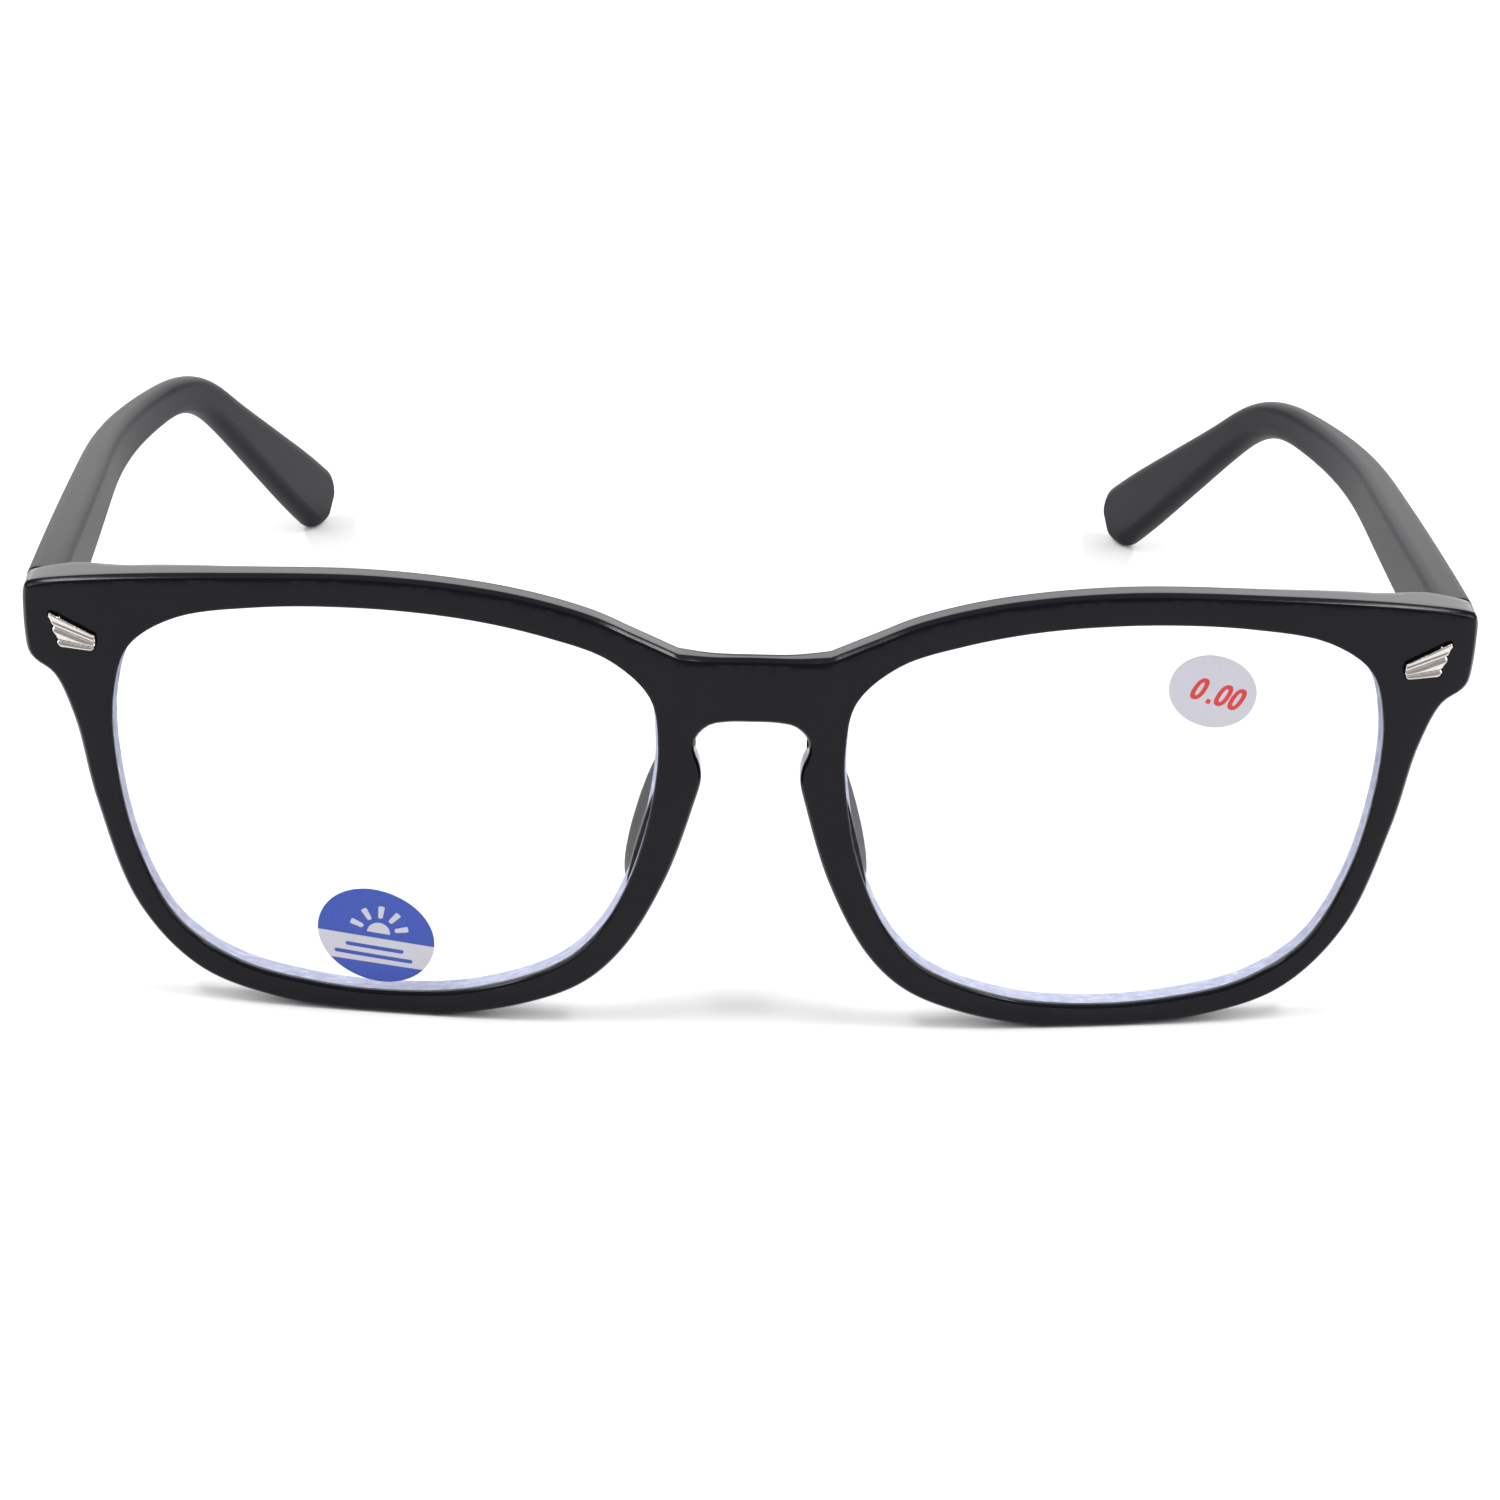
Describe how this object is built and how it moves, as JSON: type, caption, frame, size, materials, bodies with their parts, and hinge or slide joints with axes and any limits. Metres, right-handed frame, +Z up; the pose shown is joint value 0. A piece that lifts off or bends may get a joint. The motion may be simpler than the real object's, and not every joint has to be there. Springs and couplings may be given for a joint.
{
  "type": "blue light glasses",
  "caption": "Black full-rim blue light glasses with clear lenses, keyhole bridge, moulded nose pads, wing trims at the corners and folding temples.",
  "frame": {"origin": "on the surface the glasses stand on, under the middle of the whole object with its temples open", "axes": "+Z up, -Y the way the wearer looks, +X to the wearer's left"},
  "size_m": [0.1418, 0.1402, 0.0464],
  "materials": {
    "black_plastic": "satin black injection-moulded plastic",
    "clear_lens": "clear polished plastic with a ground edge",
    "trim_metal": "polished warm nickel plating",
    "hinge_steel": "plain nickel-plated steel",
    "nylon": "natural nylon",
    "sticker_grey": "satin grey-white film",
    "sticker_blue": "satin printed blue film"
  },
  "bodies": {
    "front": {"front_frame": "black_plastic", "lens_left": "clear_lens", "lens_right": "clear_lens", "wing_trim_left": "trim_metal", "wing_trim_right": "trim_metal", "hinge_front_leaf_left": "hinge_steel", "hinge_front_leaf_right": "hinge_steel", "hinge_screw_left": "hinge_steel", "hinge_screw_right": "hinge_steel", "hinge_washer_lower_left": "nylon", "hinge_washer_lower_right": "nylon", "hinge_washer_upper_left": "nylon", "hinge_washer_upper_right": "nylon", "power_sticker": "sticker_grey", "blue_light_sticker": "sticker_blue"},
    "left_temple": {"temple_left": "black_plastic", "hinge_temple_leaf_left": "hinge_steel"},
    "right_temple": {"temple_right": "black_plastic", "hinge_temple_leaf_right": "hinge_steel"}
  },
  "joints": [
    {"name": "left_temple_fold", "type": "hinge", "parent": "front", "child": "left_temple", "pos_m": [0.0656, -0.05805, 0.0383], "axis": [0, 0, 1], "range_deg": [0, 84]},
    {"name": "right_temple_fold", "type": "hinge", "parent": "front", "child": "right_temple", "pos_m": [-0.0656, -0.05805, 0.0383], "axis": [0, 0, -1], "range_deg": [0, 80]}
  ]
}
